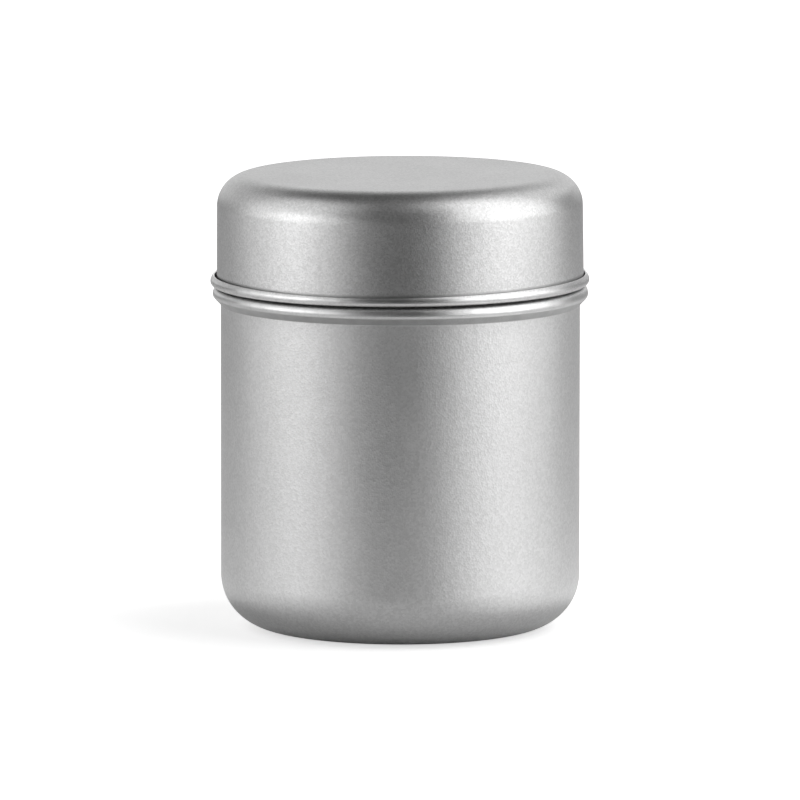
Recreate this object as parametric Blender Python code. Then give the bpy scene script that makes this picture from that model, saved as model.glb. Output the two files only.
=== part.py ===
"""Tea canister: a drawn sheet metal can, a silicone ring in a groove round its neck, and a cap that slips over both.

Every piece is a body of revolution about the Z axis. The two metal pieces are one sheet each, bent along a path in
the half section, where x is the distance from the axis and z the height above the table. Lengths are in metres and
angles in degrees.
"""

import math

import bmesh
import bpy

# Canister body, measured on its outside
BODY_RADIUS = 0.0350
BODY_SHEET = 0.0004
FOOT_ROUND = 0.0105
FOOT_RING_WIDTH = 0.0020
BASE_RISE = 0.0008
BASE_STEP_ROUND = 0.0015

# Stop bead, rolled out of the body just below the lid
BEAD_HEIGHT = 0.0655
BEAD_PROUD = 0.00157
BEAD_CREST_ROUND = 0.0012
BEAD_CORNER_ROUND = 0.0003
BEAD_LOWER_SLOPE = 45
BEAD_UPPER_SLOPE = 68

# Neck above the bead: a plain band, the seal's groove, a second plain band and the mouth's curl
LOWER_BAND = 0.0046
GROOVE_DEPTH = 0.0013
GROOVE_FLOOR = 0.0034
GROOVE_ROUND = 0.0005
GROOVE_SLOPE = 60
UPPER_BAND = 0.0034
MOUTH_CURL_ROUND = 0.0008
MOUTH_CURL_TURN = 265

# Silicone seal ring: a flat band with lips that reach for the lid
SEAL_SEAT_GAP = 0.0001
SEAL_SIDE_GAP = 0.00015
SEAL_LIP_GAP = 0.0001
SEAL_LIP_DEPTH = 0.0006
SEAL_LIPS = 2

# Where one lip starts, is full, is full no more and ends, down its part of the ring's height
SEAL_LIP_SHARES = (0.05, 0.35, 0.60, 0.90)

# Lid, measured on its outside apart from its running clearance round the neck
LID_SHEET = 0.0004
LID_CLEARANCE = 0.00022
LID_SHOULDER_ROUND = 0.0062
LID_DRAFT = 0.45
LID_OVER_MOUTH = 0.0007
LID_ABOVE_BEAD = 0.0005
LID_CURL_WIDTH = 0.00164
LID_CURL_HEIGHT = 0.0022
LID_CURL_RISE = 0.0002
LID_CURL_LEAN = 27

# How finely round shapes are divided: turns about the axis, and bends of the sheet
TURNED_STEPS = 48
WIDE_BEND_STEP = 15
BEND_STEP = 27
ROLL_STEP = 40
SHARP_ANGLE = 50

# Points nearer than this are one point
SAME_POINT = 0.00001

METAL_COLOUR = (0.50, 0.50, 0.50, 1.0)
METAL_ROUGHNESS = 0.42
SILICONE_COLOUR = (0.74, 0.75, 0.73, 1.0)
SILICONE_ROUGHNESS = 0.50


class SheetPath:
    """The middle of a bent sheet, followed through the half section from bend to bend."""

    def __init__(self, x, z):
        self.x = x
        self.z = z
        self.heading = 0.0
        self.stations = [(x, z, 0.0)]

    def straight(self, length):
        """Goes on along the heading."""
        self.x += length * math.cos(self.heading)
        self.z += length * math.sin(self.heading)
        self.stations.append((self.x, self.z, self.heading))

    def straight_to_z(self, z):
        self.straight((z - self.z) / math.sin(self.heading))

    def bend(self, radius, degrees, step=BEND_STEP):
        """Turns along an arc, to the left for positive degrees and to the right for negative ones."""
        side = math.copysign(1, degrees)
        centre_x = self.x - side * radius * math.sin(self.heading)
        centre_z = self.z + side * radius * math.cos(self.heading)
        start = self.heading
        count = max(2, round(abs(degrees) / step))
        for i in range(1, count + 1):
            self.heading = start + math.radians(degrees) * i / count
            self.x = centre_x + side * radius * math.sin(self.heading)
            self.z = centre_z - side * radius * math.cos(self.heading)
            self.stations.append((self.x, self.z, self.heading))

    def section(self, sheet):
        """Outline of the sheet: out along its left side and back along its right side."""
        half = sheet / 2
        left = [(x - half * math.sin(h), z + half * math.cos(h)) for x, z, h in self.stations]
        right = [(x + half * math.sin(h), z - half * math.cos(h)) for x, z, h in self.stations]
        return left + right[::-1]


def ramp(shift, first_radius, second_radius, degrees):
    """Straight stretch between two opposite bends that shift a sheet sideways, and how far forward all three go."""
    angle = math.radians(degrees)
    radii = first_radius + second_radius
    between = (shift - radii * (1 - math.cos(angle))) / math.sin(angle)
    forward = radii * math.sin(angle) + between * math.cos(angle)
    return between, forward


def add_base(path, half):
    """The base is pressed in by two equal and opposite bends, which leaves a flat ring to stand on."""
    slope = math.degrees(math.acos(1 - BASE_RISE / (2 * BASE_STEP_ROUND)))
    step_run = 2 * BASE_STEP_ROUND * math.sin(math.radians(slope))
    path.straight(BODY_RADIUS - FOOT_ROUND - FOOT_RING_WIDTH - step_run)
    path.bend(BASE_STEP_ROUND, -slope)
    path.bend(BASE_STEP_ROUND, slope)
    path.straight(FOOT_RING_WIDTH)
    path.bend(FOOT_ROUND - half, 90, WIDE_BEND_STEP)


def add_bead(path, half):
    """From the wall out over a soft lower flank, round the crest and steeply back in to the neck."""
    crest_radius = BEAD_CREST_ROUND - half
    corner_radius = BEAD_CORNER_ROUND + half
    lower_flank, lower_run = ramp(BEAD_PROUD, corner_radius, crest_radius, BEAD_LOWER_SLOPE)
    upper_flank, _ = ramp(BEAD_PROUD, crest_radius, corner_radius, BEAD_UPPER_SLOPE)
    path.straight_to_z(BEAD_HEIGHT - lower_run)
    path.bend(corner_radius, -BEAD_LOWER_SLOPE)
    path.straight(lower_flank)
    path.bend(crest_radius, BEAD_LOWER_SLOPE)
    path.bend(crest_radius, BEAD_UPPER_SLOPE)
    path.straight(upper_flank)
    path.bend(corner_radius, -BEAD_UPPER_SLOPE)


def add_groove(path, half):
    """A channel rolled into the neck. Returns the middle height of its floor."""
    edge_radius = GROOVE_ROUND - half
    floor_radius = GROOVE_ROUND + half
    side, _ = ramp(GROOVE_DEPTH, edge_radius, floor_radius, GROOVE_SLOPE)
    path.bend(edge_radius, GROOVE_SLOPE)
    path.straight(side)
    path.bend(floor_radius, -GROOVE_SLOPE)
    middle = path.z + GROOVE_FLOOR / 2
    path.straight(GROOVE_FLOOR)
    path.bend(floor_radius, -GROOVE_SLOPE)
    path.straight(side)
    path.bend(edge_radius, GROOVE_SLOPE)
    return middle


def canister_path():
    """From the middle of the base up to the curled mouth. Also gives the heights of the groove and the mouth."""
    half = BODY_SHEET / 2
    path = SheetPath(0.0, BASE_RISE + half)
    add_base(path, half)
    add_bead(path, half)
    path.straight(LOWER_BAND)
    groove_z = add_groove(path, half)
    path.straight(UPPER_BAND)
    mouth_z = path.z + MOUTH_CURL_ROUND
    path.bend(MOUTH_CURL_ROUND - half, MOUTH_CURL_TURN, ROLL_STEP)
    return path, groove_z, mouth_z


def seal_outline():
    """Section of the seal ring about its own middle height: down over its lips and back up its bore."""
    bore = BODY_RADIUS - GROOVE_DEPTH + SEAL_SEAT_GAP
    tip = BODY_RADIUS + LID_CLEARANCE - SEAL_LIP_GAP
    valley = tip - SEAL_LIP_DEPTH
    height = GROOVE_FLOOR - 2 * SEAL_SIDE_GAP
    pitch = height / SEAL_LIPS
    outline = [(bore, height / 2), (valley, height / 2)]
    for lip in range(SEAL_LIPS):
        top = height / 2 - lip * pitch
        for x, share in zip((valley, tip, tip, valley), SEAL_LIP_SHARES):
            outline.append((x, top - share * pitch))
    return outline + [(valley, -height / 2), (bore, -height / 2)]


def lid_path(mouth_z):
    """From the middle of the top, down the wall, and round the rim, which rolls out and up and then leans in."""
    half = LID_SHEET / 2
    flat_radius = BODY_RADIUS + LID_CLEARANCE + LID_SHEET - LID_SHOULDER_ROUND
    top_z = mouth_z + LID_OVER_MOUTH + LID_SHOULDER_ROUND
    rim_z = BEAD_HEIGHT + BEAD_CREST_ROUND + LID_ABOVE_BEAD
    curl_radius = (LID_CURL_WIDTH - LID_SHEET) / 2

    path = SheetPath(0.0, top_z - half)
    path.straight(flat_radius)
    path.bend(LID_SHOULDER_ROUND - half, LID_DRAFT - 90, WIDE_BEND_STEP)
    path.straight_to_z(rim_z + half + curl_radius * (1 - math.cos(path.heading)))
    path.bend(curl_radius, 180 - LID_DRAFT, ROLL_STEP)
    path.straight(LID_CURL_RISE)
    path.bend(curl_radius, LID_CURL_LEAN)
    path.straight_to_z(rim_z + LID_CURL_HEIGHT + half * math.cos(path.heading))
    return path, rim_z


def turned(name, outline, origin_z, material, closed=False):
    """A body of revolution about Z. An outline that isn't closed starts and ends on the axis."""
    bm = bmesh.new()
    points = [bm.verts.new((x, 0.0, z - origin_z)) for x, z in outline]
    edges = [bm.edges.new(pair) for pair in zip(points, points[1:])]
    if closed:
        edges.append(bm.edges.new((points[-1], points[0])))
    bmesh.ops.spin(
        bm,
        geom=points + edges,
        cent=(0, 0, 0),
        axis=(0, 0, 1),
        angle=math.tau,
        steps=TURNED_STEPS,
        use_merge=True,
    )
    bmesh.ops.remove_doubles(bm, verts=bm.verts, dist=SAME_POINT)
    bmesh.ops.recalc_face_normals(bm, faces=bm.faces)
    mesh = bpy.data.meshes.new(name)
    bm.to_mesh(mesh)
    bm.free()
    mesh.shade_smooth()
    mesh.set_sharp_from_angle(angle=math.radians(SHARP_ANGLE))
    mesh.materials.append(material)
    obj = bpy.data.objects.new(name, mesh)
    obj.location.z = origin_z
    bpy.context.scene.collection.objects.link(obj)
    return obj


def surface(name, colour, roughness, metallic):
    material = bpy.data.materials.new(name)
    material.use_nodes = True
    shader = material.node_tree.nodes["Principled BSDF"]
    shader.inputs["Base Color"].default_value = colour
    shader.inputs["Roughness"].default_value = roughness
    shader.inputs["Metallic"].default_value = metallic
    return material


def build():
    for obj in list(bpy.data.objects):
        bpy.data.objects.remove(obj)

    metal = surface("blasted_metal", METAL_COLOUR, METAL_ROUGHNESS, 1.0)
    silicone = surface("silicone", SILICONE_COLOUR, SILICONE_ROUGHNESS, 0.0)

    canister, groove_z, mouth_z = canister_path()
    lid, rim_z = lid_path(mouth_z)
    seal = [(x, groove_z + z) for x, z in seal_outline()]
    pieces = [
        turned("canister_body", canister.section(BODY_SHEET), 0.0, metal),
        turned("seal_ring", seal, groove_z, silicone, closed=True),
        turned("lid", lid.section(LID_SHEET), rim_z, metal),
    ]

    assembly = bpy.data.objects.new("tea_canister", None)
    bpy.context.scene.collection.objects.link(assembly)
    for piece in pieces:
        piece.parent = assembly


build()
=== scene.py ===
# %% [markdown]
# # A tea canister in bead-blasted metal
# The canister is three things: a drawn can, a silicone ring round its neck, and a lid that slips over
# both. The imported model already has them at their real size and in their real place, with coarse facets.
# This script loads that model as a fixed frame, puts finer surfaces in the same places, gives every
# surface its finish, and sets up a small photo studio round it.

# %% Load the frame
import math

import bpy
import numpy as np
from mathutils import Matrix, Quaternion, Vector


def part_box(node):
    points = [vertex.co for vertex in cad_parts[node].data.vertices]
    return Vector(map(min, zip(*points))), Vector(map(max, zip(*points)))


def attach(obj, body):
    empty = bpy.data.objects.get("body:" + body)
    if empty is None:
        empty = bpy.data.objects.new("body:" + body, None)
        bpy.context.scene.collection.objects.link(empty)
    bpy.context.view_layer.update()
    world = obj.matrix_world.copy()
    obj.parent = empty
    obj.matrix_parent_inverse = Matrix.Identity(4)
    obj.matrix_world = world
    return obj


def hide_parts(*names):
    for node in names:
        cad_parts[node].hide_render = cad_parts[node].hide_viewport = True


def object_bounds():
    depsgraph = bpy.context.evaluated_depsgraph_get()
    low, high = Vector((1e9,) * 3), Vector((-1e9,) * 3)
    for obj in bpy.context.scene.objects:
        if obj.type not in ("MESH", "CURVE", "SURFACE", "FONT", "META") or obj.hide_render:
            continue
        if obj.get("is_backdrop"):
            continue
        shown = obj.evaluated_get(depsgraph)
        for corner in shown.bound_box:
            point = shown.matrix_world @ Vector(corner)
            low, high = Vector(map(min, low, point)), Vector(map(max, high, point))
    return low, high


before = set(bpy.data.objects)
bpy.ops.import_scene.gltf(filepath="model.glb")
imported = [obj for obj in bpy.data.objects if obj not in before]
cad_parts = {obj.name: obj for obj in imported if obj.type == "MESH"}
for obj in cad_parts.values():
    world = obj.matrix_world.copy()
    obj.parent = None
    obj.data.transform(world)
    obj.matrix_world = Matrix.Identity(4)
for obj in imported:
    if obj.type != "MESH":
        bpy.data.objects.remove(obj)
cad_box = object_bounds()

# %% [markdown]
# ## The sheet
# Both metal pieces are drawn from one thickness of sheet, and a sheet metal canister is described by its
# bends. Heights and radii that the frame already knows are read from it. The rest are the bends' own
# sizes, the same as in the solid model, so the fine surfaces land on the coarse ones.

# %% The sheet, and what the frame knows
mm = 0.001
cm = 10 * mm

lid_low, lid_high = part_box("lid")
seal_low, seal_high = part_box("seal_ring")

BODY_RADIUS = 35.0 * mm
SHEET = 0.4 * mm
HALF_SHEET = SHEET / 2
CUT_EDGE_ROUND = 0.08 * mm

print(f"lid top at {lid_high.z / mm:.1f} mm, lid rim at {lid_low.z / mm:.1f} mm")

# %% [markdown]
# ## A path for a bent sheet
# A press or a roller turns a flat sheet by bending it, so the natural way to draw it is to walk along its
# middle: so far straight on, then so many degrees round such a radius. Each stretch is two arrays, the
# steps' lengths and the steps' turns. Wide bends get finer turns than tight ones, because their facets
# show.

# %% Straight stretches, bends and cut edges
LINE_SPACING = 3.0 * mm
WIDE_BEND = 4.0 * mm

# The degrees that one step turns by, in bends wider than WIDE_BEND and in tighter ones.
WIDE_STEP = 3
TIGHT_STEP = 7.5
LEAST_STEPS = 4
EDGE_STEPS = 6


def line(length, spacing=LINE_SPACING):
    """A straight stretch: equal steps, no turn."""
    count = max(1, round(length / spacing))
    return np.full(count, length / count), np.zeros(count)


def arc(radius, degrees):
    """A bend: equal steps and equal turns. A step is as long as the radius times its turn."""
    finest = WIDE_STEP if radius > WIDE_BEND else TIGHT_STEP
    count = max(LEAST_STEPS, round(abs(degrees) / finest))
    turn = np.radians(degrees) / count
    return np.full(count, radius * abs(turn)), np.full(count, turn)


def cut_edge(length):
    """The last stretch before a cut edge: its steps shorten as a sine flattens, for the edge's rounding."""
    steps = length * np.diff(np.sin(np.linspace(0, np.pi / 2, EDGE_STEPS + 1)))
    return steps, np.zeros(EDGE_STEPS)


wide_steps, _ = arc(BODY_RADIUS, 90)
tight_steps, _ = arc(SHEET, 90)
print("a right angle takes", len(wide_steps), "steps if wide and", len(tight_steps), "if tight")

# %% [markdown]
# ## Walking the path
# Walking the stretches is only running sums, with no loop over points. A bead or a groove shifts the
# sheet sideways by two opposite bends with a straight stretch between them, and the length of that
# stretch follows from the shift. A quarter turn is a good test: it has to end as far out as it is up.

# %% Follow a path
def follow(start_z, stretches):
    """Middle line of the sheet, from the axis on: distance from the axis, height, heading and run.

    The heading is the running sum of the turns. A step with turn t moves on by its chord, which is its
    length times sin(t / 2) / (t / 2), along the heading half way through it. Running sums give the places.
    """
    steps = np.concatenate([lengths for lengths, _ in stretches])
    turns = np.concatenate([angles for _, angles in stretches])
    chords = steps * np.sinc(turns / (2 * np.pi))
    half_way = np.cumsum(turns) - turns / 2
    x = np.concatenate([[0.0], np.cumsum(chords * np.cos(half_way))])
    z = start_z + np.concatenate([[0.0], np.cumsum(chords * np.sin(half_way))])
    heading = np.concatenate([[0.0], np.cumsum(turns)])
    run = np.concatenate([[0.0], np.cumsum(steps)])
    return x, z, heading, run


def run_of(stretches):
    """How far a path goes along some stretches: the sum of their steps."""
    return sum(lengths.sum() for lengths, _ in stretches)


def ramp(shift, first_radius, second_radius, degrees):
    """Straight stretch between two opposite bends that shift a sheet, and how far forward all three go.

    Each bend shifts by its radius times (1 - cosine) and the stretch by its length times the sine.
    """
    angle = math.radians(degrees)
    radii = first_radius + second_radius
    between = (shift - radii * (1 - math.cos(angle))) / math.sin(angle)
    return between, radii * math.sin(angle) + between * math.cos(angle)


test_x, test_z, _, _ = follow(0.0, [arc(BODY_RADIUS, 90)])
print(f"a quarter turn ends {test_x[-1] / mm:.2f} mm out and {test_z[-1] / mm:.2f} mm up")

# %% [markdown]
# ## From a path to metal
# Solidify could give the sheet its thickness, but it leaves a cut edge as a square step. Here the
# thickness is worked out with the path, so the last few hundredths of a millimetre can be rounded as a
# deburred edge is. That rounding is what catches the light at the lid's rolled rim.

# %% Thickness
def both_sides(left, right):
    """Values along the outline: the left side's, then the right side's from the cut edge back to the axis.

    The two sides share the point at the cut edge, so the right side leaves its own out.
    """
    return np.concatenate([left, right[-2::-1]])


def thicken(x, z, heading, run):
    """Outline of the sheet: out along its left side, round the cut edge, and back along its right side.

    A side lies half a sheet off the middle along the normal (-sin h, cos h). Within the cut edge's rounding
    the half sheet is multiplied by sqrt(1 - t * t), a quarter ellipse, where t runs from 0 to 1.
    """
    t = np.clip(1 - (run[-1] - run) / CUT_EDGE_ROUND, 0, 1)
    half = HALF_SHEET * np.sqrt(1 - t * t)
    left_x, left_z = x - half * np.sin(heading), z + half * np.cos(heading)
    right_x, right_z = x + half * np.sin(heading), z - half * np.cos(heading)
    return both_sides(left_x, right_x), both_sides(left_z, right_z)


def cut_mask(run):
    """1 on the cut edge, from half way round its corners on, and 0 elsewhere."""
    on_edge = (run > run[-1] - CUT_EDGE_ROUND / 2).astype(float)
    return both_sides(on_edge, on_edge)


print(f"sheet of {SHEET / mm:.2f} mm, cut edge rounded over its last {CUT_EDGE_ROUND / mm:.2f} mm")

# %% [markdown]
# ## Turning an outline
# Everything here is round, so an outline becomes a piece when it is turned about the upright axis. The
# Screw modifier does that for a plain outline. A grid of points by turns also lets the radius or the
# height change a little on the way round, and the rim and the bead of this canister need that.

# %% The grid of a turned surface
TURNS = 256


def turn_angles():
    """The angles of one turn's columns, in radians."""
    return 2 * np.pi * np.arange(TURNS) / TURNS


def every_turn(values):
    """Spreads one value per point of the outline over all turns. A table of both stays as it is."""
    return np.broadcast_to(values.reshape(len(values), -1), (len(values), TURNS))


def one_sided(side_degrees, narrow=1):
    """1 on one side of the canister and 0 on the other: (1 + cosine) / 2, to the power that narrows it.

    Side 0 is the right, and side -90 is the front, where the camera stands.
    """
    return ((1 + np.cos(turn_angles() - math.radians(side_degrees))) / 2) ** narrow


def grid_faces(rows, wrap_rows):
    """Quads between neighbouring rows and columns of a grid, with columns joined end to start."""
    i = np.arange(rows if wrap_rows else rows - 1)[:, None]
    j = np.arange(TURNS)[None, :]
    next_i, next_j = (i + 1) % rows, (j + 1) % TURNS
    corners = [i * TURNS + j, next_i * TURNS + j, next_i * TURNS + next_j, i * TURNS + next_j]
    return np.stack(corners, axis=-1).reshape(-1, 4).tolist()


def pole_fans(rows):
    """Triangles from the first and the last row to two poles, whose points come after the grid's."""
    j = np.arange(TURNS)
    after = (j + 1) % TURNS
    end_row = (rows - 1) * TURNS
    first = np.stack([np.full(TURNS, rows * TURNS), j, after], axis=-1)
    last = np.stack([end_row + j, np.full(TURNS, rows * TURNS + 1), end_row + after], axis=-1)
    return first.tolist() + last.tolist()


print(f"{TURNS} columns, {360 / TURNS:.2f} degrees apart")

# %% [markdown]
# ## From an outline to a piece
# The points and faces go into a mesh at once. Masks go with them: they say where a surface is the inside,
# where shade is painted into the colour and where the shears cut, and the materials read them as
# attributes. The volume of material is printed because it is a quick test, since a torn or crossed outline
# gives an odd one.

# %% Turn an outline into a piece
def material_volume(radius, height):
    """Volume inside a turned outline: pi times the squared mean radius times the rise, summed along it."""
    around = np.append(radius, radius[:1], axis=0)
    along = np.append(height, height[:1], axis=0)
    return abs(np.pi * np.sum((around[1:] + around[:-1]) ** 2 / 4 * np.diff(along, axis=0))) / TURNS


def turned(name, radius, height, masks, closed=False):
    """A body of revolution: point (i, j) is (r cos a_j, r sin a_j, z), where a_j is 2 pi j / TURNS.

    Radius r and height z have one value for each point of the outline, or one for each point and turn. A
    closed outline is a ring. An open one starts and ends on the axis, where a fan of triangles closes each
    pole. Each mask is laid out like the radius.
    """
    radius, height = every_turn(radius), every_turn(height)
    ends = slice(None) if closed else slice(1, -1)
    r, z = radius[ends], height[ends]
    grid = np.stack([r * np.cos(turn_angles()), r * np.sin(turn_angles()), z], axis=-1).reshape(-1, 3)
    faces = grid_faces(len(r), closed)
    if not closed:
        grid = np.concatenate([grid, [[0, 0, height[0, 0]], [0, 0, height[-1, 0]]]])
        faces += pole_fans(len(r))

    mesh = bpy.data.meshes.new(name)
    mesh.from_pydata(grid.tolist(), [], faces)
    mesh.shade_smooth()
    for mask_name, mask in masks.items():
        mask = every_turn(mask)
        values = np.append(mask[ends].ravel(), [] if closed else mask[[0, -1], 0]).astype(np.float32)
        mesh.attributes.new(mask_name, "FLOAT", "POINT").data.foreach_set("value", values)
    mesh.validate()
    piece = bpy.data.objects.new(name, mesh)
    bpy.context.scene.collection.objects.link(piece)
    print(f"{name}: {len(grid)} points, {material_volume(radius, height) / cm**3:.2f} cm3 of material")
    return piece


# %% [markdown]
# ## The can's stop bead
# Just under the lid a bead is rolled out of the wall from inside. It stops a lid that is pushed down too
# far. Its lower flank is soft and its upper flank is steep, so it is two ramps with one bend for the
# crest.

# %% The bead
BEAD_HEIGHT = 65.5 * mm
BEAD_PROUD = 1.57 * mm
BEAD_CREST_ROUND = 1.2 * mm
BEAD_CORNER_ROUND = 0.3 * mm
BEAD_LOWER_SLOPE = 45
BEAD_UPPER_SLOPE = 68

crest_bend = BEAD_CREST_ROUND - HALF_SHEET
corner_bend = BEAD_CORNER_ROUND + HALF_SHEET
lower_flank, lower_run = ramp(BEAD_PROUD, corner_bend, crest_bend, BEAD_LOWER_SLOPE)
upper_flank, _ = ramp(BEAD_PROUD, crest_bend, corner_bend, BEAD_UPPER_SLOPE)
bead_stretches = [
    arc(corner_bend, -BEAD_LOWER_SLOPE),
    line(lower_flank),
    arc(crest_bend, BEAD_LOWER_SLOPE + BEAD_UPPER_SLOPE),
    line(upper_flank),
    arc(corner_bend, -BEAD_UPPER_SLOPE),
]
print(f"the bead's flanks are {lower_flank / mm:.2f} mm and {upper_flank / mm:.2f} mm long")

# %% [markdown]
# ## The can's base and wall
# A can like this starts as a disc that is drawn into a cup. Its base is pressed in a little by two equal
# and opposite bends, so that it stands on a ring, and one large bend leads from that ring to the wall.

# %% The base, the foot and the wall
FOOT_ROUND = 10.5 * mm
FOOT_RING_WIDTH = 2.0 * mm
BASE_RISE = 0.8 * mm
BASE_STEP_ROUND = 1.5 * mm

step_slope = math.degrees(math.acos(1 - BASE_RISE / (2 * BASE_STEP_ROUND)))
step_run = 2 * BASE_STEP_ROUND * math.sin(math.radians(step_slope))
wall_height = BEAD_HEIGHT - lower_run - FOOT_ROUND
base_stretches = [
    line(BODY_RADIUS - FOOT_ROUND - FOOT_RING_WIDTH - step_run),
    arc(BASE_STEP_ROUND, -step_slope),
    arc(BASE_STEP_ROUND, step_slope),
    line(FOOT_RING_WIDTH),
    arc(FOOT_ROUND - HALF_SHEET, 90),
    line(wall_height),
]
print(f"the base's step slopes by {step_slope:.0f} degrees, the wall is {wall_height / mm:.1f} mm high")

# %% [markdown]
# ## The can's neck
# Above the bead the wall goes on inside the lid. The seal's groove is rolled in from outside, and the
# mouth is curled inwards so that nobody meets a cut edge. All of the can is one path.

# %% The neck, and the whole path
LOWER_BAND = 4.6 * mm
GROOVE_DEPTH = 1.3 * mm
GROOVE_FLOOR = 3.4 * mm
GROOVE_ROUND = 0.5 * mm
GROOVE_SLOPE = 60
UPPER_BAND = 3.4 * mm
MOUTH_CURL_ROUND = 0.8 * mm
MOUTH_CURL_TURN = 265

groove_edge_bend = GROOVE_ROUND - HALF_SHEET
groove_floor_bend = GROOVE_ROUND + HALF_SHEET
groove_side, _ = ramp(GROOVE_DEPTH, groove_edge_bend, groove_floor_bend, GROOVE_SLOPE)
neck_stretches = [
    line(LOWER_BAND),
    arc(groove_edge_bend, GROOVE_SLOPE),
    line(groove_side),
    arc(groove_floor_bend, -GROOVE_SLOPE),
    line(GROOVE_FLOOR),
    arc(groove_floor_bend, -GROOVE_SLOPE),
    line(groove_side),
    arc(groove_edge_bend, GROOVE_SLOPE),
    line(UPPER_BAND),
    arc(MOUTH_CURL_ROUND - HALF_SHEET, MOUTH_CURL_TURN),
    cut_edge(CUT_EDGE_ROUND),
]
can_path = follow(BASE_RISE + HALF_SHEET, base_stretches + bead_stretches + neck_stretches)
can_x, can_z = thicken(*can_path)
can_run = can_path[3]
print(f"mouth at {can_z.max() / mm:.2f} mm, bead {2 * can_x.max() / mm:.2f} mm across")

# %% [markdown]
# ## Where the can is bare, shaded or cut
# The left side of this path is the inside of the can. Under the bead, where the wall faces down, shade is
# painted into the colour: fully on its lower flank, then less and less on the way to the crest. The shears
# leave the mouth's cut edge bright.

# %% Masks of the can
# How far round the crest's bend the painted shade under the bead reaches, as a share.
BEAD_SHADE_CREST_SHARE = 0.6

can_points = len(can_run)
can_inner = (np.arange(len(can_x)) < can_points).astype(float)
flank_start = run_of(base_stretches)
flank_full = flank_start + corner_bend * math.radians(BEAD_LOWER_SLOPE)
flank_end = flank_full + lower_flank
crest_unshaded = flank_end + crest_bend * math.radians(BEAD_LOWER_SLOPE) * BEAD_SHADE_CREST_SHARE
# Painted shade under the bead, as a mask: rising over the corner, 1 on the lower flank, falling to 0 on the
# crest.
under_bead_shade = np.interp(can_run, [flank_start, flank_full, flank_end, crest_unshaded], [0, 1, 1, 0])
can_masks = {
    "inner": can_inner,
    "nook_shade": both_sides(np.zeros(can_points), under_bead_shade),
    "cut": cut_mask(can_run),
}
print(f"grime ends {(crest_unshaded - flank_end) / mm:.2f} mm along the bead's crest")

# %% [markdown]
# ## A bead that isn't level
# In the photo the bead's upper edge rises to the right, as the lid's rim does. The roller left the bead's
# upper half a third of a millimetre higher there, and the upright neck above takes that up, so the mouth
# is level again.

# %% Raise the bead on the right and turn the can
BEAD_RISE = 0.34 * mm
BEAD_RISE_START = 0.8 * mm
BEAD_RISE_FADE = 4.0 * mm

bead_end_run = run_of(base_stretches + bead_stretches)
bead_end_z = np.interp(bead_end_run, can_run, can_path[1])
rise_heights = [BEAD_HEIGHT, BEAD_HEIGHT + BEAD_RISE_START, bead_end_z, bead_end_z + BEAD_RISE_FADE]
rise_share = np.interp(can_z, rise_heights, [0, 1, 1, 0])[:, None]
can = turned("canister_shell", can_x, can_z[:, None] + rise_share * BEAD_RISE * one_sided(0), can_masks)
print(f"bead raised by {BEAD_RISE / mm:.2f} mm, neck level {BEAD_RISE_FADE / mm:.0f} mm above it")

# %% [markdown]
# ## The lid
# The lid is a shallow cup upside down. Its rim is rolled outwards and up, and its last millimetre leans
# in again, so that the cut edge looks at the wall and not at a finger. In the photo the rim is a band of
# light round the canister. The narrow gap behind it is the dark thread above that band, and at both ends
# the cut edge shows as a thin bright line.

# %% Walk the lid's path
LID_CLEARANCE = 0.22 * mm
LID_SHOULDER_ROUND = 6.2 * mm
LID_DRAFT = 0.45
LID_CURL_WIDTH = 1.64 * mm
LID_CURL_HEIGHT = 2.2 * mm
LID_CURL_RISE = 0.2 * mm
LID_CURL_LEAN = 27

# The wall has finer points behind the rim, where the edge of the painted shade runs.
FINE_WALL = 3.0 * mm
FINE_SPACING = 0.1 * mm

lid_radius = BODY_RADIUS + LID_CLEARANCE + SHEET
curl_bend = (LID_CURL_WIDTH - SHEET) / 2
wall_heading = math.radians(LID_DRAFT - 90)
shoulder_bend = LID_SHOULDER_ROUND - HALF_SHEET
shoulder_end_z = lid_high.z - HALF_SHEET - shoulder_bend * (1 - math.cos(wall_heading))
curl_start_z = lid_low.z + HALF_SHEET + curl_bend * (1 - math.cos(wall_heading))
wall_length = (curl_start_z - shoulder_end_z) / math.sin(wall_heading)

# The leaning stretch ends where its outer corner, half a sheet off the middle, reaches the rim's full
# height.
lean = math.radians(LID_CURL_LEAN)
lean_start_z = HALF_SHEET + curl_bend + LID_CURL_RISE + curl_bend * math.sin(lean)
lean_length = (LID_CURL_HEIGHT - HALF_SHEET * math.sin(lean) - lean_start_z) / math.cos(lean)

cup_stretches = [
    line(lid_radius - LID_SHOULDER_ROUND),
    arc(shoulder_bend, LID_DRAFT - 90),
    line(wall_length - FINE_WALL),
    line(FINE_WALL, FINE_SPACING),
]
rim_stretches = [
    arc(curl_bend, 180 - LID_DRAFT),
    line(LID_CURL_RISE),
    arc(curl_bend, LID_CURL_LEAN),
    line(lean_length - CUT_EDGE_ROUND),
    cut_edge(CUT_EDGE_ROUND),
]
lid_path = follow(lid_high.z - HALF_SHEET, cup_stretches + rim_stretches)
lid_x, lid_z = thicken(*lid_path)
lid_run = lid_path[3]
rim_height = lid_z[lid_x > lid_high.x - LID_CURL_WIDTH / 2].max() - lid_low.z
print(f"lid {2 * lid_x.max() / mm:.2f} mm across its rim, which is {rim_height / mm:.2f} mm high")

# %% [markdown]
# ## An uneven rim
# No rolled rim is the same all round. The trimming die left the leaning stretch shorter at the front
# left, so its points slide back along it, its end the most. On the right the rim was pinched in a little,
# and the pinch is there in full a quarter turn into the curl.

# %% Trim and pinch the rim
RIM_DIP = 0.55 * mm
RIM_DIP_SIDE = -102
RIM_DIP_NARROW = 6
RIM_PINCH = 0.16 * mm
RIM_PINCH_NARROW = 8

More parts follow.
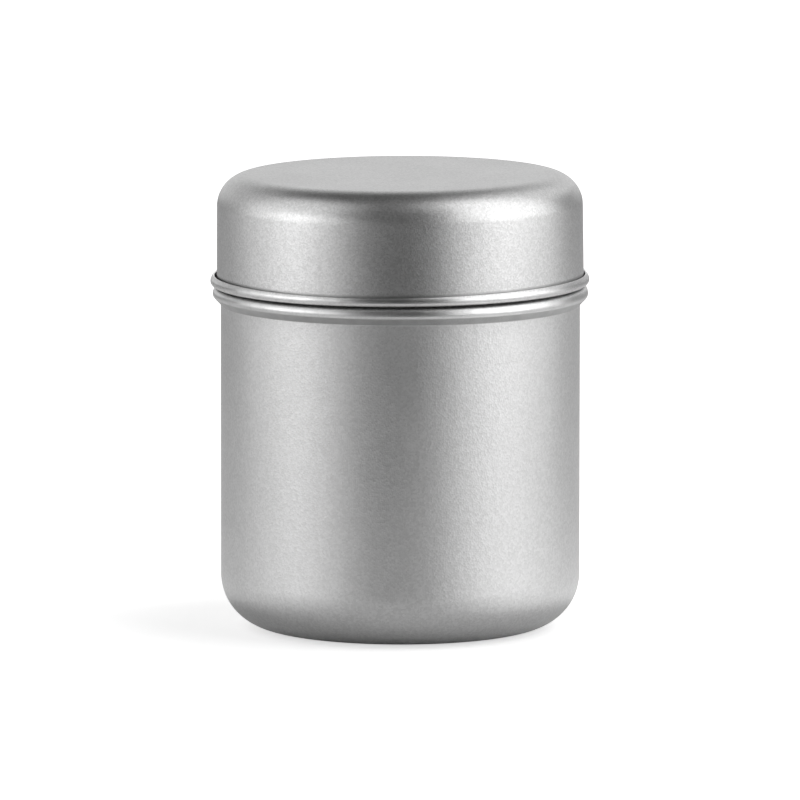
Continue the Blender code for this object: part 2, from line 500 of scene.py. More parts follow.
slid = np.clip(1 - (lid_run[-1] - lid_run) / lean_length, 0, 1)
slid = both_sides(slid, slid)[:, None]
curl_run = lid_run[-1] - run_of(rim_stretches)
pinched = np.clip((lid_run - curl_run) / (curl_bend * math.pi / 2), 0, 1)
pinched = both_sides(pinched, pinched)[:, None]
dip = RIM_DIP * one_sided(RIM_DIP_SIDE, RIM_DIP_NARROW)
pinch = RIM_PINCH * one_sided(0, RIM_PINCH_NARROW)
trimmed_x = lid_x[:, None] + slid * dip * math.sin(lean) - pinched * pinch
trimmed_z = lid_z[:, None] - slid * dip * math.cos(lean)
print(f"leaning stretch {lean_length / mm:.2f} mm long, and {RIM_DIP / mm:.2f} mm less where trimmed most")

# %% [markdown]
# ## Where the lid is bare, shaded or cut
# The right side of this path is the inside of the lid, as far as the rim. Past the rim it is the curl's
# outside. On the wall in the narrow gap behind the rim, shade is painted into the colour: fully up to the
# height of the rim's edge, and less and less above it. So its upper limit follows the edge where the rim
# was trimmed.

# %% Masks of the lid
# Painted shade on the wall behind the rim: full up to the first height above the rim's edge, none above the
# second.
RIM_SHADE_FULL = 0.1 * mm
RIM_SHADE_REACH = 0.55 * mm

lid_points = len(lid_run)
under_lid = np.arange(len(lid_x)) >= lid_points
lid_inner = (under_lid & (lid_x < lid_radius) & (lid_z > lid_low.z + LID_CURL_WIDTH / 2)).astype(float)
above_edge = lid_z[:, None] - (lid_low.z + rim_height - dip * math.cos(lean))
on_wall = both_sides(lid_run < lid_run[-1] - lean_length, np.zeros(lid_points, dtype=bool))
# Painted shade behind the rim, as a mask, on the outer wall only.
lid_nook_shade = on_wall[:, None] * np.clip((RIM_SHADE_REACH - above_edge) / (RIM_SHADE_REACH - RIM_SHADE_FULL), 0, 1)
lid_masks = {"inner": lid_inner, "nook_shade": lid_nook_shade, "cut": cut_mask(lid_run)}
lid = turned("lid_shell", trimmed_x, trimmed_z, lid_masks)

# %% [markdown]
# ## The lid doesn't sit quite level
# A lid that is pressed on by hand goes down a little further on the side that was pressed last. In the
# photo its right side stands 0.3 degrees higher than its left. It tilts about the middle of the seal,
# which is soft.

# %% Tilt the lid
LID_TILT = 0.30
LID_ASIDE = 0.06 * mm

pivot = Matrix.Translation((0, 0, (seal_low.z + seal_high.z) / 2))
aside = Matrix.Translation((-LID_ASIDE, 0, 0))
lid.data.transform(aside @ pivot @ Matrix.Rotation(math.radians(-LID_TILT), 4, "Y") @ pivot.inverted())
lid_places = np.zeros(3 * len(lid.data.vertices), dtype=np.float32)
lid.data.vertices.foreach_get("co", lid_places)
lid_places = lid_places.reshape(-1, 3)
lid_right_z = lid_places[lid_places[:, 0] > 0, 2].max()
print(f"the lid's right side rises by {(lid_right_z - lid_high.z) / mm:.2f} mm")

# %% [markdown]
# ## The seal ring
# The ring is moulded silicone: a band that hugs the groove's floor, with two soft lips that reach for the
# lid. Its section is a superellipse, which is a rectangle with soft corners, and the lips are a raised
# cosine added on the outside. A thin ridge half way is the line where the mould's halves met.

# %% Turn the seal ring
SEAL_POINTS = 120
SEAL_CORNERS = 7
SEAL_SEAT_GAP = 0.1 * mm
SEAL_LIP_DEPTH = 0.6 * mm
SEAL_LIPS = 2
MOULD_LINE_PROUD = 0.03 * mm
MOULD_LINE_WIDTH = 0.05 * mm


def soft_box(across, up, corners, count):
    """Superellipse: cosine and sine of the angle, each to the power 2 / corners with its sign kept.

    The angle runs clockwise.
    """
    angle = -2 * np.pi * np.arange(count) / count
    c, s = np.cos(angle), np.sin(angle)
    power = 2 / corners
    return across * np.sign(c) * np.abs(c) ** power, up * np.sign(s) * np.abs(s) ** power


seal_middle = (seal_low.z + seal_high.z) / 2
seal_half = (seal_high.z - seal_low.z) / 2
seal_bore = BODY_RADIUS - GROOVE_DEPTH + SEAL_SEAT_GAP
band_half = (seal_high.x - SEAL_LIP_DEPTH - seal_bore) / 2
band_x, band_z = soft_box(band_half, seal_half, SEAL_CORNERS, SEAL_POINTS)
outside = np.clip(band_x / band_half, 0, 1)
lips = 0.5 - 0.5 * np.cos(np.pi * SEAL_LIPS * (1 + band_z / seal_half))
mould_line = MOULD_LINE_PROUD * np.exp(-((band_z / MOULD_LINE_WIDTH) ** 2))
seal_x = seal_bore + band_half + band_x + outside * (SEAL_LIP_DEPTH * lips + mould_line)
seal = turned("seal_band", seal_x, seal_middle + band_z, {}, closed=True)

# %% [markdown]
# ## Who moves with whom
# Each fine piece rides on the body that its coarse solid belongs to and takes that solid's place in the
# picture. It could be parented by hand; here it is parented to an empty named after that body, and the
# coarse solid is hidden.

# %% Ride and replace
for piece, body, node, slot in (
    (can, "canister", "canister_body", "blasted_metal"),
    (seal, "seal", "seal_ring", "silicone"),
    (lid, "lid", "lid", "blasted_metal"),
):
    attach(piece, body)
    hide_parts(node)
    print(f"{piece.name} rides on {body} in place of {node}")

# %% [markdown]
# ## The camera
# The photo was taken from far off with a long lens, a little above the lid. The distance, the tilt and
# the scale were found by laying the outline of the canister over the photo until both agreed.

# %% Set the camera
PHOTO_SIDE = 800
SENSOR_MM = 36.0
CAMERA_DISTANCE = 2.6176
CAMERA_ELEVATION = 7.6
CAMERA_ROLL = 0.05
PIXELS_PER_METRE = 5129
AIM = Vector((-0.06 * mm, 0, 44.38 * mm))
FARTHEST_SEEN = 100

camera_data = bpy.data.cameras.new("photo_camera")
camera_data.sensor_width = SENSOR_MM
camera_data.lens = SENSOR_MM * PIXELS_PER_METRE * CAMERA_DISTANCE / PHOTO_SIDE
camera_data.clip_end = FARTHEST_SEEN
camera = bpy.data.objects.new("photo_camera", camera_data)
tilt = math.radians(CAMERA_ELEVATION)
back = Vector((0, -math.cos(tilt), math.sin(tilt)))
camera.location = AIM + back * CAMERA_DISTANCE
look = (-back).to_track_quat("-Z", "Y") @ Quaternion((0, 0, 1), math.radians(CAMERA_ROLL))
camera.rotation_euler = look.to_euler()
bpy.context.scene.collection.objects.link(camera)
bpy.context.scene.camera = camera
print(f"lens {camera_data.lens:.0f} mm at {CAMERA_DISTANCE:.2f} m")

# %% [markdown]
# ## Tools for finishes
# A finish is a small network of nodes. These helpers keep the cells below short: one adds a node and
# fills its sockets, one does a step of arithmetic, one makes a soft step, and so on.

# %% Node helpers
def node(tree, kind, sockets=None, **settings):
    """Adds a node. A socket given another node's output is linked to it, one given a value keeps it."""
    made = tree.nodes.new(kind)
    for name, value in settings.items():
        setattr(made, name, value)
    for key, value in (sockets or {}).items():
        if isinstance(value, bpy.types.NodeSocket):
            tree.links.new(value, made.inputs[key])
        else:
            made.inputs[key].default_value = value
    return made


def calc(tree, operation, first, second=0.0):
    """One step of arithmetic on two values."""
    return node(tree, "ShaderNodeMath", {0: first, 1: second}, operation=operation).outputs[0]


def soft_step(tree, value, start, end, low=0.0, high=1.0):
    """Goes from low to high as the value goes from start to end, as 3 t^2 - 2 t^3."""
    limits = {"Value": value, "From Min": start, "From Max": end, "To Min": low, "To Max": high}
    return node(tree, "ShaderNodeMapRange", limits, interpolation_type="SMOOTHSTEP").outputs["Result"]


def noise(tree, place, scale, detail):
    """Smooth random value from 0 to 1 with so many waves per metre. Detail adds finer waves to them."""
    sockets = {"Vector": place, "Scale": scale, "Detail": detail}
    return node(tree, "ShaderNodeTexNoise", sockets).outputs["Fac"]


def mix_value(tree, factor, first, second):
    """Goes from the first value to the second as factor goes from 0 to 1."""
    return node(tree, "ShaderNodeMix", {0: factor, 2: first, 3: second}, data_type="FLOAT").outputs[0]


def mix_colour(tree, factor, first, second):
    """Goes from the first colour to the second as factor goes from 0 to 1."""
    return node(tree, "ShaderNodeMix", {0: factor, 6: first, 7: second}, data_type="RGBA").outputs[2]


def grey(value):
    """A colour with no hue."""
    return (value, value, value, 1)


print("helpers made: node, calc, soft_step, noise, mix_value, mix_colour, grey")

# %% [markdown]
# ## Tools for places and groups
# What two materials have in common goes into a group that is built once, with named sockets. Most
# patterns on a turned piece ask how far a point is from the axis, so that has a helper too.

# %% Group helpers
def new_group(name, inputs, outputs):
    """An empty shader group. inputs are (name, type, value) and outputs are names of values."""
    tree = bpy.data.node_groups.new(name, "ShaderNodeTree")
    for socket_name, kind, value in inputs:
        socket = tree.interface.new_socket(socket_name, in_out="INPUT", socket_type=kind)
        if value is not None:
            socket.default_value = value
    for socket_name in outputs:
        tree.interface.new_socket(socket_name, in_out="OUTPUT", socket_type="NodeSocketFloat")
    given = tree.nodes.new("NodeGroupInput").outputs
    result = tree.nodes.new("NodeGroupOutput")
    return tree, given, result


def use_group(tree, group, sockets):
    """Places a group in a material and fills its sockets."""
    return node(tree, "ShaderNodeGroup", sockets, node_tree=group).outputs


def mask_of(tree, name):
    """Reads a mask that went into the mesh as an attribute."""
    return node(tree, "ShaderNodeAttribute", attribute_name=name).outputs["Fac"]


def split_place(tree, place):
    """The parts of a place, and its distance from the upright axis, which is the length of (x, y, 0)."""
    split = node(tree, "ShaderNodeSeparateXYZ", {0: place}).outputs
    flat = node(tree, "ShaderNodeCombineXYZ", {"X": split["X"], "Y": split["Y"]}).outputs[0]
    return split, node(tree, "ShaderNodeVectorMath", {0: flat}, operation="LENGTH").outputs["Value"]


print("helpers made: new_group, use_group, mask_of, split_place")

# %% [markdown]
# ## Bead-blasted grain
# Glass beads shot at a surface leave overlapping round dimples. Voronoi distance is just that shape: zero
# at a dimple's middle and rising to a ridge where two dimples meet. Each dimple also catches the light a
# little differently, so every cell gets a tone of its own. Finer noise breaks both up. In the photo the
# grain is two pixels wide, about 0.4 mm.

# %% Group: blast_grain
USUAL_DIMPLE = 0.4 * mm
SPECKLE_FINER = 1.7
SPECKLE_DETAIL = 3.0
SPECKLE_SHARE = 0.3
TONE_SPECKLE_SHARE = 0.4

blast_grain, given, result = new_group(
    "blast_grain",
    [("Place", "NodeSocketVector", None), ("Dimple Width", "NodeSocketFloat", USUAL_DIMPLE)],
    ["Height", "Tone"],
)
per_metre = calc(blast_grain, "DIVIDE", 1.0, given["Dimple Width"])
dimples = node(blast_grain, "ShaderNodeTexVoronoi", {"Vector": given["Place"], "Scale": per_metre}).outputs
finer = calc(blast_grain, "MULTIPLY", per_metre, SPECKLE_FINER)
speckle = noise(blast_grain, given["Place"], finer, SPECKLE_DETAIL)
own_tone = node(blast_grain, "ShaderNodeSeparateColor", {0: dimples["Color"]}).outputs[0]
relief = mix_value(blast_grain, SPECKLE_SHARE, dimples["Distance"], speckle)
tone = mix_value(blast_grain, TONE_SPECKLE_SHARE, own_tone, speckle)
blast_grain.links.new(relief, result.inputs["Height"])
blast_grain.links.new(tone, result.inputs["Tone"])
print("blast_grain:", len(blast_grain.nodes), "nodes")

# %% [markdown]
# ## Handling
# Fingers leave a thin film that no cloth takes off evenly. It shows as a slow change of gloss from place
# to place, with broad patches and smaller smears inside them, so it is two noises added up.

# %% Group: handling
PATCHES_PER_METRE = 35.0
PATCH_DETAIL = 3.0
PATCH_SHARE = 0.7
SMEARS_PER_METRE = 160.0
SMEAR_DETAIL = 2.0
SMEAR_SHARE = 0.3
HAZE_START = 0.3
HAZE_FULL = 0.7

handling, given, result = new_group("handling", [("Place", "NodeSocketVector", None)], ["Haze"])
patches = noise(handling, given["Place"], PATCHES_PER_METRE, PATCH_DETAIL)
smears = noise(handling, given["Place"], SMEARS_PER_METRE, SMEAR_DETAIL)
patches = calc(handling, "MULTIPLY", patches, PATCH_SHARE)
smears = calc(handling, "MULTIPLY", smears, SMEAR_SHARE)
film = calc(handling, "ADD", patches, smears)
handling.links.new(soft_step(handling, film, HAZE_START, HAZE_FULL), result.inputs["Haze"])
print("handling:", len(handling.nodes), "nodes")

# %% [markdown]
# ## Uneven bands
# Whatever stands proud is rubbed smooth first: the crest of the rolled rim, the bead, the ring that it
# stands on. Under the bead and behind the rim, where shade falls, shade is painted into the colour. Both
# are bands round the metal. The group takes how far a point is towards the band, makes a soft step of it,
# and breaks the step up with noise, since nothing wears evenly, and the painted shade is as uneven.

# %% Group: uneven_band
BAND_PATCHES_PER_METRE = 420.0
BAND_DETAIL = 4.0
BAND_THIN = 0.35
BAND_THICK = 0.65
USUAL_LEAST = 0.35

uneven_band, given, result = new_group(
    "uneven_band",
    [
        ("Place", "NodeSocketVector", None),
        ("Distance", "NodeSocketFloat", 0.0),
        ("Start", "NodeSocketFloat", 0.0),
        ("Full", "NodeSocketFloat", 1.0),
        ("Least", "NodeSocketFloat", USUAL_LEAST),
    ],
    ["Band"],
)
step = soft_step(uneven_band, given["Distance"], given["Start"], given["Full"])
patches = noise(uneven_band, given["Place"], BAND_PATCHES_PER_METRE, BAND_DETAIL)
uneven = soft_step(uneven_band, patches, BAND_THIN, BAND_THICK, given["Least"], 1.0)
uneven_band.links.new(calc(uneven_band, "MULTIPLY", step, uneven), result.inputs["Band"])
print("uneven_band:", len(uneven_band.nodes), "nodes")

# %% [markdown]
# ## Drawing lines
# The inside is never blasted. It keeps the fine rings that the drawing and rolling tools leave: on the
# wall they run round at one height, on the base at one distance from the middle. Noise that is read at
# (distance from the axis, height) gives both. A little of x and y is added, so that no ring is quite even
# all round.

# %% Group: drawing_lines
USUAL_LINES_PER_METRE = 4000.0
LINE_DRIFT = 0.004
LINE_DETAIL = 2.0

drawing_lines, given, result = new_group(
    "drawing_lines",
    [("Place", "NodeSocketVector", None), ("Lines Per Metre", "NodeSocketFloat", USUAL_LINES_PER_METRE)],
    ["Height"],
)
split, from_axis = split_place(drawing_lines, given["Place"])
across = calc(drawing_lines, "ADD", from_axis, calc(drawing_lines, "MULTIPLY", split["X"], LINE_DRIFT))
up = calc(drawing_lines, "ADD", split["Z"], calc(drawing_lines, "MULTIPLY", split["Y"], LINE_DRIFT))
where = node(drawing_lines, "ShaderNodeCombineXYZ", {"X": across, "Y": up}).outputs[0]
rings = noise(drawing_lines, where, given["Lines Per Metre"], LINE_DETAIL)
drawing_lines.links.new(rings, result.inputs["Height"])
print("drawing_lines:", len(drawing_lines.nodes), "nodes")

# %% [markdown]
# ## The metal's colour
# Four things change the metal's tone from place to place: the grain, painted shade where the mask
# "nook_shade" is, rubbing on whatever stands proud, and the cut edge, which is bare metal and the
# brightest of all.

# %% Colour of the metal
RUBBED_METAL = grey(0.70)
# The dark grey of the shade painted under the bead and behind the rim.
SHADED_METAL = grey(0.36)
CUT_METAL = grey(0.90)
# The least share of the painted shade where its noise thins it.
SHADE_LEAST = 0.85
EDGE_RUB_WIDTH = 0.35 * mm
FOOT_RUB_HEIGHT = 0.3 * mm


def rubbed(tree, place, crest_radius):
    """Where hands and the table rub: the larger of two bands, one at the crest and one above the table."""
    split, from_axis = split_place(tree, place)
    crest = {
        "Place": place,
        "Distance": from_axis,
        "Start": crest_radius - EDGE_RUB_WIDTH,
        "Full": crest_radius,
    }
    foot = {"Place": place, "Distance": split["Z"], "Start": FOOT_RUB_HEIGHT, "Full": 0.0}
    at_crest = use_group(tree, uneven_band, crest)["Band"]
    at_foot = use_group(tree, uneven_band, foot)["Band"]
    return calc(tree, "MAXIMUM", at_crest, at_foot)


def metal_colour(tree, place, grain_tone, wear, tone, tone_range):
    """Mixes the grain's two greys, then painted shade, rubbed metal and cut metal over them, each by its
    mask.
    """
    # Painted shade: the mask, broken up by an uneven band, darkens the colour towards the shaded grey.
    nook_shade = mask_of(tree, "nook_shade")
    shaded = {"Place": place, "Distance": nook_shade, "Start": 0.0, "Full": 1.0, "Least": SHADE_LEAST}
    painted_shade = use_group(tree, uneven_band, shaded)["Band"]
    colour = mix_colour(tree, grain_tone, grey(tone - tone_range / 2), grey(tone + tone_range / 2))
    colour = mix_colour(tree, painted_shade, colour, SHADED_METAL)
    colour = mix_colour(tree, wear, colour, RUBBED_METAL)
    return mix_colour(tree, mask_of(tree, "cut"), colour, CUT_METAL)


print("greys: soiled", SHADED_METAL[0], "rubbed", RUBBED_METAL[0], "cut", CUT_METAL[0])

# %% [markdown]
# ## The metal's gloss and relief
# Haze dulls the metal a little, and rubbing, the drawing tools and the shears polish it. The relief is
# the blasted grain, weaker where it is rubbed, and on the inside the drawing lines instead.

# %% Gloss and relief of the metal
HAZE_RANGE = 0.05
WEAR_POLISH = 0.10
INNER_POLISH = 0.10
CUT_POLISH = 0.15
LINES_PER_METRE = 5000.0
LINE_DEPTH = 0.007 * mm
WORN_GRAIN_SHARE = 0.4


def metal_roughness(tree, haze, wear, inner, roughness):
    """The plain roughness, plus or minus half the haze's range, less what each kind of polish takes off."""
    rough = calc(tree, "ADD", roughness - HAZE_RANGE / 2, calc(tree, "MULTIPLY", haze, HAZE_RANGE))
    for mask, polish in ((wear, WEAR_POLISH), (inner, INNER_POLISH), (mask_of(tree, "cut"), CUT_POLISH)):
        rough = calc(tree, "SUBTRACT", rough, calc(tree, "MULTIPLY", mask, polish))
    return rough


def metal_relief(tree, grain_height, lines, wear, inner, dimple_depth):
    """Height in dimple depths: grain times what wear leaves of it, or lines scaled to their own depth."""
    left_grain = soft_step(tree, wear, 0.0, 1.0, 1.0, WORN_GRAIN_SHARE)
    worn_grain = calc(tree, "MULTIPLY", grain_height, left_grain)
    return mix_value(tree, inner, worn_grain, calc(tree, "MULTIPLY", lines, LINE_DEPTH / dimple_depth))


print(f"relief: grain falls to {WORN_GRAIN_SHARE} where rubbed, lines are {LINE_DEPTH / mm:.3f} mm deep")

# %% [markdown]
# ## The metal
# One function puts the metal of the can and of the lid together. They were blasted apart: in the photo
# the lid is a shade darker, its grain is finer and stronger, and its bands of light are a little sharper.

# %% Metal materials
def blasted_metal(name, crest_radius, tone, tone_range, roughness, dimple_width, dimple_depth):
    """Metal with grain, haze, wear and grime, in tones round one grey and with dimples of one size."""
    material = bpy.data.materials.new(name)
    material.use_nodes = True
    tree = material.node_tree
    shader = tree.nodes["Principled BSDF"]
    shader.inputs["Metallic"].default_value = 1.0
    place = node(tree, "ShaderNodeTexCoord").outputs["Object"]
    inner = mask_of(tree, "inner")
    grain = use_group(tree, blast_grain, {"Place": place, "Dimple Width": dimple_width})
    haze = use_group(tree, handling, {"Place": place})["Haze"]
    lines = use_group(tree, drawing_lines, {"Place": place, "Lines Per Metre": LINES_PER_METRE})["Height"]
    wear = rubbed(tree, place, crest_radius)

    colour = metal_colour(tree, place, grain["Tone"], wear, tone, tone_range)
    rough = metal_roughness(tree, haze, wear, inner, roughness)
    relief = metal_relief(tree, grain["Height"], lines, wear, inner, dimple_depth)
    bump = node(tree, "ShaderNodeBump", {"Height": relief, "Distance": dimple_depth})
    tree.links.new(colour, shader.inputs["Base Color"])
    tree.links.new(rough, shader.inputs["Roughness"])
    tree.links.new(bump.outputs["Normal"], shader.inputs["Normal"])
    print(f"{name}: {len(tree.nodes)} nodes")
    return material


can_metal = blasted_metal(
    "can_metal",
    crest_radius=BODY_RADIUS + BEAD_PROUD,
    tone=0.62,
    tone_range=0.16,
    roughness=0.43,
    dimple_width=0.38 * mm,
    dimple_depth=0.025 * mm,
)
lid_metal = blasted_metal(
    "lid_metal",
    crest_radius=lid_high.x,
    tone=0.59,
    tone_range=0.22,
    roughness=0.40,
    dimple_width=0.31 * mm,
    dimple_depth=0.023 * mm,
)
can.data.materials.append(can_metal)
lid.data.materials.append(lid_metal)

# %% [markdown]
# ## The silicone
# Food-grade silicone is milky: light goes in a little and comes out softened, which a small subsurface
# share gives. Its mould was spark-eroded, so its skin has a grain of its own, wider and flatter than that
# of the metal, and dust and tea oil settle on it as faint patches.

# %% Silicone material
SILICONE_CLEAN = (0.74, 0.75, 0.73, 1)
SILICONE_AGED = (0.70, 0.69, 0.64, 1)
SILICONE_CLEAN_ROUGHNESS = 0.44
SILICONE_AGED_ROUGHNESS = 0.54
SILICONE_MILKY = 0.15
SILICONE_LIGHT_DEPTH = 0.6 * mm
SILICONE_GRAIN = 0.6 * mm
SILICONE_GRAIN_DEPTH = 0.008 * mm

silicone = bpy.data.materials.new("seal_silicone")
silicone.use_nodes = True
tree = silicone.node_tree
shader = tree.nodes["Principled BSDF"]
shader.inputs["Subsurface Weight"].default_value = SILICONE_MILKY
shader.inputs["Subsurface Scale"].default_value = SILICONE_LIGHT_DEPTH
place = node(tree, "ShaderNodeTexCoord").outputs["Object"]
skin = use_group(tree, blast_grain, {"Place": place, "Dimple Width": SILICONE_GRAIN})
haze = use_group(tree, handling, {"Place": place})["Haze"]
rough = mix_value(tree, haze, SILICONE_CLEAN_ROUGHNESS, SILICONE_AGED_ROUGHNESS)
bump = node(tree, "ShaderNodeBump", {"Height": skin["Height"], "Distance": SILICONE_GRAIN_DEPTH})
tree.links.new(mix_colour(tree, haze, SILICONE_CLEAN, SILICONE_AGED), shader.inputs["Base Color"])
tree.links.new(rough, shader.inputs["Roughness"])
tree.links.new(bump.outputs["Normal"], shader.inputs["Normal"])
seal.data.materials.append(silicone)
print("seal_silicone:", len(tree.nodes), "nodes")

# %% [markdown]
# ## The softboxes
# Satin metal shows its surroundings, only blurred, so the photo tells what stood round the canister. The
# two broad bands of light are a tall softbox on each side. Its low part lights the wall, its top part
# lights the shoulder, and a brighter core gives the band its middle. The dark band between them is the
# unlit side of the studio, where the camera stands. Two weaker softboxes behind the shoulders keep the
# back edge from going dark. Each one is a rectangle that spans two angles, counted from the camera's side
# round to the right, and shines at the canister. A lamp's brightness is its power over pi times its area,
# so the power follows from the brightness that is wanted.

# %% Softboxes
LAMP_DISTANCE = 0.9

# Name, the two angles in degrees, bottom and top in metres, and brightness.
SOFTBOXES = (
    ("right_softbox", 32, 112, 0.01, 0.35, 1.64),
    ("right_softbox_top", 38, 112, 0.35, 2.20, 1.98),
    ("right_core", 56, 82, 0.01, 0.35, 1.03),
    ("left_softbox", -32, -113, 0.01, 0.30, 1.22),
    ("left_softbox_top", -42, -116, 0.30, 1.55, 1.13),
    ("left_core", -56, -82, 0.01, 0.35, 1.55),
    ("rear_right_softbox", 120, 150, 0.42, 1.80, 0.95),
    ("rear_left_softbox", -120, -150, 0.16, 1.00, 0.43),
)


def plan_point(degrees, distance):
    """A point of the floor plan: (sin, -cos), as the angle runs from the camera's side to the right."""
    angle = math.radians(degrees)
    return Vector((distance * math.sin(angle), -distance * math.cos(angle), 0))


def softbox(name, from_angle, to_angle, bottom, top, brightness):
    """A lamp as wide as the chord between its two angles, facing the canister's axis."""
    start, end = plan_point(from_angle, LAMP_DISTANCE), plan_point(to_angle, LAMP_DISTANCE)
    middle = (start + end) / 2
    lamp = bpy.data.lights.new(name, "AREA")
    lamp.shape = "RECTANGLE"
    lamp.size = (end - start).length
    lamp.size_y = top - bottom
    lamp.energy = brightness * math.pi * lamp.size * lamp.size_y
    stand = bpy.data.objects.new(name, lamp)
    stand.location = middle + Vector((0, 0, (top + bottom) / 2))
    stand.rotation_euler = (-middle).to_track_quat("-Z", "Y").to_euler()
    bpy.context.scene.collection.objects.link(stand)
    print(f"{name}: {lamp.size:.2f} x {lamp.size_y:.2f} m, {lamp.energy:.1f} W")


for row in SOFTBOXES:
    softbox(*row)

# %% [markdown]
# ## White behind, dark in front
# The background of the photo is white, and the lid's flat top mirrors it. So the world is white for the
# camera, and what the metal mirrors is white behind the canister, less so towards the sides, and nearly
# dark elsewhere. The Y part of a direction says how far behind the canister it points, and the X part how
# far to a side.

# %% The world
WHITE = 1.0
DARK_STUDIO = 0.02
BACK_EDGE = 0.62
BACK_FULL = 0.90
SIDE_START = 0.15
SIDE_END = 0.75
SIDE_WHITE = 0.40

world = bpy.data.worlds.new("studio")
world.use_nodes = True
bpy.context.scene.world = world
sky = world.node_tree
direction = node(sky, "ShaderNodeTexCoord").outputs["Generated"]
split = node(sky, "ShaderNodeSeparateXYZ", {0: direction}).outputs
behind = soft_step(sky, split["Y"], BACK_EDGE, BACK_FULL, DARK_STUDIO, WHITE)
to_side = calc(sky, "ABSOLUTE", split["X"])
behind = calc(sky, "MULTIPLY", behind, soft_step(sky, to_side, SIDE_START, SIDE_END, WHITE, SIDE_WHITE))
rays = node(sky, "ShaderNodeLightPath").outputs
seen = calc(sky, "MAXIMUM", rays["Is Camera Ray"], rays["Is Transmission Ray"])
brightness = calc(sky, "MAXIMUM", seen, behind)
background = sky.nodes["Background"]
background.inputs["Color"].default_value = grey(WHITE)
sky.links.new(brightness, background.inputs["Strength"])
white_reach = math.degrees(math.acos(BACK_FULL))
print(f"world: white up to {white_reach:.0f} degrees off straight back, and less of it to the sides")

# %% [markdown]
# ## The floor
# White paper lit by softboxes is never quite white in a picture, so a share of plain white is added to
# what the camera sees. Near the canister the share is smaller, which leaves its soft shadow.

# %% White paper
PAPER_COLOUR = grey(0.70)
PAPER_ROUGHNESS = 0.9
PAPER_SHINE = 0.1
SHADOW_START = 40 * mm
SHADOW_END = 100 * mm
SHADOW_WHITE = 0.60

paper = bpy.data.materials.new("white_paper")
paper.use_nodes = True
paper_tree = paper.node_tree
paper_shader = paper_tree.nodes["Principled BSDF"]
paper_shader.inputs["Base Color"].default_value = PAPER_COLOUR
paper_shader.inputs["Roughness"].default_value = PAPER_ROUGHNESS
paper_shader.inputs["Specular IOR Level"].default_value = PAPER_SHINE
paper_shader.inputs["Emission Color"].default_value = grey(WHITE)
place = node(paper_tree, "ShaderNodeTexCoord").outputs["Object"]
away = node(paper_tree, "ShaderNodeVectorMath", {0: place}, operation="LENGTH").outputs["Value"]
rays = node(paper_tree, "ShaderNodeLightPath").outputs
seen = calc(paper_tree, "MAXIMUM", rays["Is Camera Ray"], rays["Is Transmission Ray"])
added_white = soft_step(paper_tree, away, SHADOW_START, SHADOW_END, SHADOW_WHITE, WHITE)
shown = calc(paper_tree, "MULTIPLY", seen, added_white)
print(f"the paper's shadow fades out by {SHADOW_END / mm:.0f} mm from the axis")

# %% [markdown]
# ## The floor in the mirror
# The foot and the bead mirror the paper, so their tones tell how bright it was where. Right at the foot
# it glows to the left and to the right, and not in front. A little farther out it glows all round, but
# less. Both glows are stronger on the right. Then comes a dark gap, and the far paper is bright again.
# Each glow is a product of soft steps, over the distance from the axis and over the direction.

# %% What metal mirrors of the paper
FOOT_GLOW_LEFT = 0.38
FOOT_GLOW_RIGHT = 0.57
FOOT_GLOW_IN = (36 * mm, 48 * mm)
FOOT_GLOW_OUT = (140 * mm, 80 * mm)
FOOT_GLOW_SIDES = (0.2, 0.9)
NEAR_GLOW_LEFT = 0.10
NEAR_GLOW_RIGHT = 0.19
NEAR_GLOW_IN = (60 * mm, 120 * mm)
DARK_GAP = (250 * mm, 500 * mm)
FAR_GLOW = 0.32
FAR_GLOW_IN = (1.0, 2.0)


def product(tree, *factors):
    """Multiplies any number of values."""
    result = factors[0]
    for factor in factors[1:]:
        result = calc(tree, "MULTIPLY", result, factor)
    return result


place_x = node(paper_tree, "ShaderNodeSeparateXYZ", {0: place}).outputs["X"]
to_right = calc(paper_tree, "DIVIDE", place_x, away)
foot_glow = product(
    paper_tree,
    soft_step(paper_tree, away, *FOOT_GLOW_IN),
    soft_step(paper_tree, away, *FOOT_GLOW_OUT),
    soft_step(paper_tree, to_right, -1.0, 1.0, FOOT_GLOW_LEFT, FOOT_GLOW_RIGHT),
    soft_step(paper_tree, calc(paper_tree, "ABSOLUTE", to_right), *FOOT_GLOW_SIDES),
)
near_glow = product(
    paper_tree,
    soft_step(paper_tree, away, *NEAR_GLOW_IN),
    soft_step(paper_tree, to_right, -1.0, 1.0, NEAR_GLOW_LEFT, NEAR_GLOW_RIGHT),
    soft_step(paper_tree, away, *DARK_GAP, 1.0, 0.0),
)
far_glow = soft_step(paper_tree, away, *FAR_GLOW_IN, 0.0, FAR_GLOW)
glow = calc(paper_tree, "ADD", calc(paper_tree, "ADD", near_glow, foot_glow), far_glow)
mirrored = calc(paper_tree, "MULTIPLY", rays["Is Glossy Ray"], glow)
paper_tree.links.new(calc(paper_tree, "ADD", shown, mirrored), paper_shader.inputs["Emission Strength"])
print("white_paper:", len(paper_tree.nodes), "nodes")

# %% [markdown]
# ## Laying the paper
# The floor is one large round sheet. It lies a hair under the canister, because two faces in one plane
# would flicker through each other.

# %% Lay the floor
FLOOR_RADIUS = 20.0
FLOOR_SIDES = 96
FLOOR_DROP = 0.02 * mm


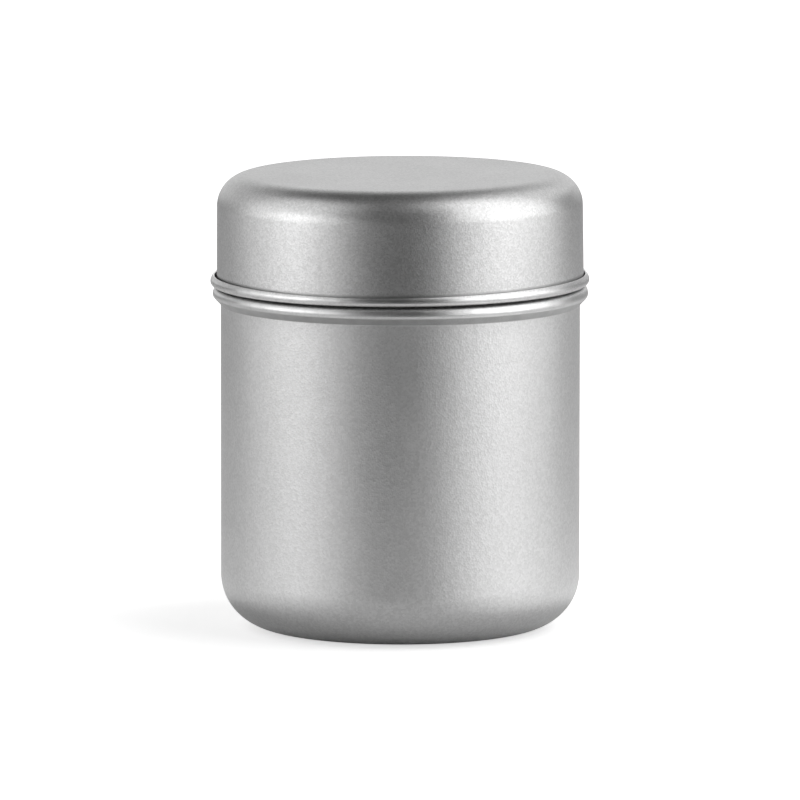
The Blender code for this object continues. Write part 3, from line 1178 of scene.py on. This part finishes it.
def sheet(name, corners, material):
    """One flat face through the given corners, which is part of the stage."""
    mesh = bpy.data.meshes.new(name)
    mesh.from_pydata(corners, [], [list(range(len(corners)))])
    mesh.materials.append(material)
    flat_piece = bpy.data.objects.new(name, mesh)
    bpy.context.scene.collection.objects.link(flat_piece)
    flat_piece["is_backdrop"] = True
    return flat_piece


angle = 2 * np.pi * np.arange(FLOOR_SIDES) / FLOOR_SIDES
corners = [(FLOOR_RADIUS * math.cos(a), FLOOR_RADIUS * math.sin(a), -FLOOR_DROP) for a in angle]
floor = sheet("floor", corners, paper)
print(f"{floor.name}: {2 * FLOOR_RADIUS:.0f} m across, {FLOOR_DROP / mm:.2f} mm below the canister")

# %% [markdown]
# ## The black card, a painted dark reflection
# A photographer who wants a dark middle in a shiny cylinder lays a black card on the table in front of it,
# where the cylinder mirrors it. This one starts just inside the picture's lower edge. It is hidden from the
# camera, sheds no light on the paper and casts no shadow, so it is seen only in mirrors: a painted dark
# reflection in the front of the metal.

# %% Card in front
CARD_NEAR = 0.20
CARD_FAR = 1.70
CARD_HALF_WIDTH = 0.23
CARD_HEIGHT = 1 * mm
CARD_COLOUR = grey(0.02)

black = bpy.data.materials.new("black_card")
black.use_nodes = True
black.node_tree.nodes["Principled BSDF"].inputs["Base Color"].default_value = CARD_COLOUR
card_corners = [
    (-CARD_HALF_WIDTH, -CARD_FAR, CARD_HEIGHT),
    (CARD_HALF_WIDTH, -CARD_FAR, CARD_HEIGHT),
    (CARD_HALF_WIDTH, -CARD_NEAR, CARD_HEIGHT),
    (-CARD_HALF_WIDTH, -CARD_NEAR, CARD_HEIGHT),
]
card = sheet("card", card_corners, black)
# Seen only in mirrors, where it paints a dark reflection.
card.visible_camera = False
card.visible_diffuse = False
card.visible_shadow = False
print(f"{card.name}: {2 * CARD_HALF_WIDTH:.2f} m wide, from {CARD_NEAR:.2f} to {CARD_FAR:.2f} m in front")

# %% [markdown]
# ## The picture's tones
# The standard view shows every colour as it is written, with no film curve on top. The two boxes kept at
# the end, of the solid model and of the fine one, tell whether any piece outgrew its solid.

# %% View transform and sizes
bpy.context.scene.view_settings.view_transform = "Standard"

visual_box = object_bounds()
growth = [round((v[i] - c[i]) / mm, 3) for v, c in zip(visual_box, cad_box) for i in range(3)]
print("the low and the high corner moved by", growth, "mm")
